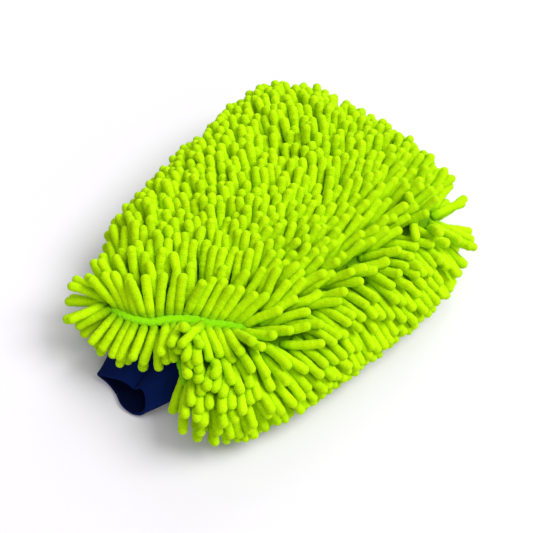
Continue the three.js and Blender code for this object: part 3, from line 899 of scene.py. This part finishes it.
def noodle_groups(x, roots, normals, in_row, overhang):
    """Which noodles are the fringe on the cuff, and which grow on the palm, the sides and the back."""
    front = (x[:, :, 1].min(1) < -84 * MM) & (np.abs(x[:, -1, 0]) < 44 * MM) & (roots[:, 2] > SEAM_Z)
    over = overhang & in_row & (roots[:, 0] < 30 * MM)
    mouth = front & (over | (roots[:, 0] < 24 * MM))
    palm = ~mouth & (normals[:, 2] < -0.45)
    side = ~mouth & ~palm & (np.abs(normals[:, 2]) <= 0.55)
    return {"mouth": mouth, "palm": palm, "side": side, "back": ~mouth & ~palm & ~side}


def make_noodles():
    rows, row_aims, first_row, hem_count, point, normal, aim = pick_roots()
    roots = np.concatenate([rows, point])
    normals = np.concatenate([np.tile([0.0, 0.0, 1.0], (len(rows), 1)), normal])
    aims = np.concatenate([row_aims, aim])
    count = len(roots)
    lengths = NOODLE_LENGTH * rng.uniform(0.95, 1.05, count)
    lengths[first_row:hem_count] *= 0.88
    lengths[hem_count:len(rows)] *= 1.01
    radius = NOODLE_RADIUS * rng.uniform(0.94, 1.06, count)
    roots = roots - normals * 0.6 * MM
    x = settle(roots, aims, lengths, radius, SETTLE_STEPS)
    centres = noodle_centres(x)
    radii = noodle_radii(count, radius)
    along = np.tile(STOPS, (count, 1))
    tone = np.tile(rng.random((count, 1)), (1, RINGS))
    number = np.arange(count)
    groups = noodle_groups(x, roots, normals, number < len(rows), number >= first_row)
    replaced = {"mouth": ["mouth_fringe"], "palm": ["palm_pile"], "side": [], "back": ["back_pile"]}
    for name, chosen in groups.items():
        index = np.nonzero(chosen)[0]
        index = index[np.argsort(roots[index, 1], kind="stable")]
        for part, group in enumerate(np.array_split(index, math.ceil(len(index) / MOST_IN_PIECE))):
            obj = tubes_object(f"{name}_noodles_{part + 1}", centres[group], radii[group], SIDES,
                               {"along": along[group], "tone": tone[group]})
            finish_piece(obj, CHENILLE, "chenille", *replaced[name])
            if name == "mouth":
                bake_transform(obj)
            else:
                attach(obj, "mitt")


make_noodles()

# ---- shell cloth and lining

CLOTH_TURNS = 130
CLOTH_AROUND = 90


def applied(obj):
    """Replaces the object's mesh by its modified one."""
    graph = bpy.context.evaluated_depsgraph_get()
    mesh = bpy.data.meshes.new_from_object(obj.evaluated_get(graph))
    obj.modifiers.clear()
    obj.data = mesh


def cloth_panel(name, low, high, depth, thickness):
    """One panel of the pouch between two angles round it, open at the mouth."""
    p = pouch_grid(0.01, CLOTH_TURNS, low, high, CLOTH_AROUND, depth + thickness / 2)
    index = np.arange(p.shape[0] * p.shape[1]).reshape(p.shape[:2])
    quads = np.stack([index[:-1, :-1], index[:-1, 1:], index[1:, 1:], index[1:, :-1]], -1)
    quads = quads[~in_mouth((p[:-1, :-1] + p[1:, 1:]) / 2)]
    used, inverse = np.unique(quads, return_inverse=True)
    verts = p.reshape(-1, 3)[used]
    quads = inverse.reshape(-1, 4)
    obj = mesh_object(name, verts, quads)
    set_uv(obj.data, "weave", verts[quads.ravel()][:, :2])
    solid = obj.modifiers.new("thickness", "SOLIDIFY")
    solid.thickness = thickness
    solid.offset = 0
    applied(obj)
    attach(obj, "mitt")
    return obj


def make_cloth():
    for name, low, high in (("back", 0.0, np.pi), ("palm", np.pi, 2 * np.pi)):
        cloth = cloth_panel(f"{name}_cloth", low, high, 0.0, CLOTH_THICKNESS)
        # The pile's ground cloth takes the dark green of painted shade.
        finish_piece(cloth, SHADED_PILE_BASE, "ground_cloth", f"{name}_ground_cloth")
        lining = cloth_panel(f"{name}_lining_cloth", low, high, LINING_DEPTH, LINING_THICKNESS)
        finish_piece(lining, LINING, "lining", f"{name}_lining")


make_cloth()


COIL_STEPS = 10                 # points in each turn of a thread


def coiled(line, radius, pitch):
    """A thread wound round a line, as an overlocked edge is."""
    length = np.linalg.norm(np.diff(line, axis=0), axis=1).sum()
    count = int(length / pitch * COIL_STEPS)
    path = spline(line, count)
    tangent = unit(np.gradient(path, axis=0))
    up = unit(np.cross(tangent, [0.3, 0.2, 1.0]))
    other = np.cross(tangent, up)
    angle = np.arange(count) / COIL_STEPS * 2 * np.pi
    return path + radius * (up * np.cos(angle)[:, None] + other * np.sin(angle)[:, None])


def thread_object(name, path, radius, mat, slot, *nodes):
    centres = path[None]
    share = np.linspace(0, 1, path.shape[0])[None]
    obj = tubes_object(name, centres, np.full(centres.shape[:2], radius), 6, {"along": share})
    finish_piece(obj, mat, slot, *nodes)
    return obj


def side_seam(depth):
    """The U round the hand at the height of the side seam, from one side of the mouth to the other."""
    turn = np.linspace(-1.15, np.pi / 2 - 0.01, 60)
    right = pouch(turn, np.zeros_like(turn), depth)
    left = pouch(turn[::-1], np.full_like(turn, np.pi), depth)
    return np.concatenate([right, left])


def make_seams():
    shell = thread_object("shell_overlock", coiled(side_seam(0.4 * MM), 1.1 * MM, 2.6 * MM), 0.3 * MM,
                          LIME_THREAD, "lime_thread", "shell_seam_thread")
    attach(shell, "mitt")
    inner = thread_object("lining_overlock", coiled(side_seam(LINING_DEPTH + 1.2 * MM), 0.7 * MM, 2.2 * MM),
                          0.22 * MM, GREY_THREAD, "lining_thread", "lining_seam_thread")
    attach(inner, "mitt")


make_seams()

# ---- the mouth's hem

BAND_HALF_WIDTH = 2.9 * MM
BAND_HALF_HEIGHT = 1.5 * MM
TAPE_SIDES = 14


def over_cloth(line, lift):
    return np.column_stack([line, cloth_height(line[:, 0], line[:, 1]) + lift])


def mouth_lines():
    """The bare hem over the back, and the rest of the mouth's edge."""
    low = np.concatenate([over_cloth(MOUTH_BESIDE, 0), MOUTH_LOW, over_cloth(HEM[:1], 0)])
    return spline(over_cloth(HEM, 0.8 * MM), 400), spline(low, 500)


def tape_arrays(path):
    """A soft tape along a line over the mouth, drawn in between the tufts sewn through it."""
    tangent = unit(np.gradient(path, axis=0))
    radial = path - np.array([-4, -80, 28]) * MM
    radial[:, 1] = 0
    out = unit(unit(radial) + [0, 0, 0.3])
    out = unit(out - (out * tangent).sum(-1, keepdims=True) * tangent)
    across = np.cross(tangent, out)
    length = lengths_along(path)
    scallop = 1 + 0.16 * np.abs(np.sin(np.pi * length / (5.6 * MM))) + 0.05 * np.sin(length / (3.1 * MM))
    taper = np.sqrt(smooth(np.minimum(length, length[-1] - length) / (5 * MM)) * 0.9 + 0.1)
    sides = TAPE_SIDES
    angle = 2 * np.pi * np.arange(sides) / sides
    wide = signed_power(np.cos(angle), 0.8)[None, :, None] * across[:, None] * BAND_HALF_WIDTH
    tall = signed_power(np.sin(angle), 0.9)[None, :, None] * out[:, None] * BAND_HALF_HEIGHT
    verts = path[:, None] + (wide * scallop[:, None, None] + tall) * taper[:, None, None]
    start = np.arange(sides)[::-1]
    fan = np.stack([np.full(sides - 2, start[0]), start[1:-1], start[2:]], -1)
    last = (len(path) - 1) * sides
    fan_end = last + sides - 1 - fan
    weave = np.stack(np.broadcast_arrays(length[:, None], angle[None] * BAND_HALF_WIDTH), -1)
    return (verts.reshape(-1, 3), ring_quads(len(path), sides), np.concatenate([fan, fan_end]),
            weave.reshape(-1, 2), (length, out, across))


def make_binding():
    """The tape round the mouth. Returns each part's line, lengths, and ways out and across."""
    lines = mouth_lines()
    parts = [tape_arrays(line) for line in lines]
    shift = len(parts[0][0])
    verts = np.concatenate([part[0] for part in parts])
    quads, tris = (np.concatenate([parts[0][i], parts[1][i] + shift]) for i in (1, 2))
    weave = np.concatenate([part[3] for part in parts])
    obj = mesh_object("mouth_tape", verts, quads, tris)
    corners = np.concatenate([quads.ravel(), tris.ravel()])
    set_uv(obj.data, "weave", weave[corners])
    finish_piece(obj, CLOTH, "ground_cloth", "mouth_binding")
    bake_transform(obj)
    return [(line, *part[4]) for line, part in zip(lines, parts)]


def make_binding_stitches(tapes):
    """Running stitches along both edges of the tape."""
    stitches = []
    for path, length, out, across in tapes:
        for side in (-1, 1):
            for start in np.arange(2 * MM, length[-1] - 4 * MM, 3.4 * MM):
                stop = np.linspace(start, start + 2.3 * MM, 7)
                spot, lift, aside = (sampled(stop, length, field) for field in (path, out, across))
                arch = np.sin(np.linspace(0, np.pi, 7))[:, None] * 0.3 * MM
                stitches.append(spot + aside * side * 2.2 * MM + lift * (BAND_HALF_HEIGHT * 0.66 + arch))
    centres = np.stack(stitches)
    share = np.tile(np.linspace(0, 1, 7) * 0.02, (len(centres), 1))
    radii = np.tile([0.10, 0.20, 0.24, 0.24, 0.24, 0.20, 0.10], (len(centres), 1)) * MM
    obj = tubes_object("mouth_tape_stitches", centres, radii, 6, {"along": share})
    finish_piece(obj, LIME_THREAD, "lime_thread", "mouth_binding_thread")
    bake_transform(obj)


make_binding_stitches(make_binding())

# ---- the knit cuff

CUFF_ROUND = 0.150              # round the wrist, over the knit
ELASTIC_WIDTH = 0.012


def make_cuff():
    """A tube of knit folded double at its free edge: out, round the fold and back inside."""
    total = 2 * PLY + PLY_GAP
    bend = np.linspace(0, np.pi, 9)[1:-1]
    tangent = unit(CUFF_ROWS[-1] - CUFF_ROWS[-3])
    last = CUFF_ROWS[-1]
    outside = CUFF_ROWS + CUFF_OUT * total / 2
    fold = [last + CUFF_OUT[-1] * np.cos(b) * total / 2 + tangent * np.sin(b) * total / 2 for b in bend]
    inside = (CUFF_ROWS - CUFF_OUT * total / 2)[::-1]
    hidden = total / 2 - PLY
    back_in = (CUFF_ROWS - CUFF_OUT * hidden)[:-1]
    small = [last + CUFF_OUT[-1] * (-np.cos(b)) * hidden + tangent * (np.sin(b) * hidden - PLY * 0.3)
             for b in bend[::2]]
    back_out = (CUFF_ROWS + CUFF_OUT * hidden)[-2::-1]
    rings = np.concatenate([outside, fold, inside, back_in, small, back_out])
    count, around = rings.shape[:2]
    quads, k, j = torus_quads(rings)
    # The inner ply's rows are marked for painted shade, which darkens the cuff's hollow.
    shade = np.zeros(count)
    shade[CUFF_ALONG + len(bend):2 * CUFF_ALONG + len(bend)] = 1
    obj = mesh_object("knit_cuff", rings.reshape(-1, 3), quads,
                      attributes={"inside": np.repeat(shade, around)})
    step = np.linalg.norm(np.diff(np.concatenate([rings, rings[:1]]), axis=0), axis=-1).mean(1)
    along = np.concatenate([[0], np.cumsum(step)])
    u = (j[..., None] + np.array([0, 0, 1, 1])) / around * CUFF_ROUND
    v = np.stack([along[k], along[k + 1], along[k + 1], along[k]], -1)
    set_uv(obj.data, "weave", np.stack([u, v], -1))
    finish_piece(obj, KNIT, "knit_cuff", "cuff")
    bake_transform(obj)


def make_elastic():
    """The ribbon between the cuff's two plies."""
    rows = slice(24, 32)
    middle, out = CUFF_ROWS[rows], CUFF_OUT[rows]
    thin = 0.2 * MM
    rings = np.concatenate([middle + out * thin, (middle - out * thin)[::-1]])
    count, around = rings.shape[:2]
    quads, k, j = torus_quads(rings)
    obj = mesh_object("elastic_ribbon", rings.reshape(-1, 3), quads)
    weave = np.stack([j / around * CUFF_ROUND, k / count * ELASTIC_WIDTH], -1).reshape(-1, 2)
    set_uv(obj.data, "weave", weave[quads.ravel()])
    finish_piece(obj, ELASTIC, "elastic", "wrist_elastic")
    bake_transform(obj)


def make_cuff_threads():
    inset = PLY + PLY_GAP / 2 + 0.3 * MM
    left = CUFF_AROUND // 2
    line = (CUFF_ROWS - CUFF_OUT * inset)[26:56, left]
    seam = thread_object("cuff_side_seam", coiled(line, 0.35 * MM, 1.8 * MM), 0.2 * MM,
                         NAVY_THREAD, "navy_thread", "cuff_seam_thread")
    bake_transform(seam)
    ring = (CUFF_ROWS + CUFF_OUT * (PLY + PLY_GAP / 2 + 0.35 * MM))[5]
    join = thread_object("cuff_join_overlock", coiled(np.concatenate([ring, ring[:1]]), 0.6 * MM, 2.2 * MM),
                         0.24 * MM, NAVY_THREAD, "navy_thread", "cuff_join_thread")
    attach(join, "mitt")


make_cuff()
make_elastic()
make_cuff_threads()

# ---- floor and light

FLOOR_HALF = 4.0
FLOOR_COLOUR = (0.715, 0.705, 0.72)
SKY_COLOUR = (1.0, 0.96, 1.04, 1)
SKY_STRENGTH = 0.44
LIT_POINT = (0, 0, 0.03)
# Round soft lights: name, place, diameter and power
LIGHTS = (("key", (1.6, 2.3, 3.5), 2.8, 208), ("top", (0.0, 0.2, 5.6), 4.0, 44),
          ("back", (-2.0, 3.6, 1.8), 3.2, 64), ("fill", (4.0, -2.2, 1.7), 3.2, 52))


def make_floor():
    mesh = bpy.data.meshes.new("floor")
    corners = [(x * FLOOR_HALF, y * FLOOR_HALF, 0) for x, y in ((-1, -1), (1, -1), (1, 1), (-1, 1))]
    mesh.from_pydata(corners, [], [(0, 1, 2, 3)])
    floor = new_object("floor", mesh)
    mat, _, shader = material("floor", FLOOR_COLOUR, 0.9)
    shader.inputs["Specular IOR Level"].default_value = 0.1
    mesh.materials.append(mat)


def make_light():
    for name, place, size, power in LIGHTS:
        data = bpy.data.lights.new(name, "AREA")
        data.shape = "DISK"
        data.size = size
        data.energy = power
        light = bpy.data.objects.new(name, data)
        light.location = place
        light.rotation_euler = (Vector(LIT_POINT) - Vector(place)).to_track_quat("-Z", "Y").to_euler()
        bpy.context.scene.collection.objects.link(light)
    world = bpy.data.worlds.new("studio")
    world.use_nodes = True
    sky = world.node_tree.nodes["Background"]
    sky.inputs["Color"].default_value = SKY_COLOUR
    sky.inputs["Strength"].default_value = SKY_STRENGTH
    bpy.context.scene.world = world
    bpy.context.scene.view_settings.view_transform = "Standard"


make_floor()
make_light()
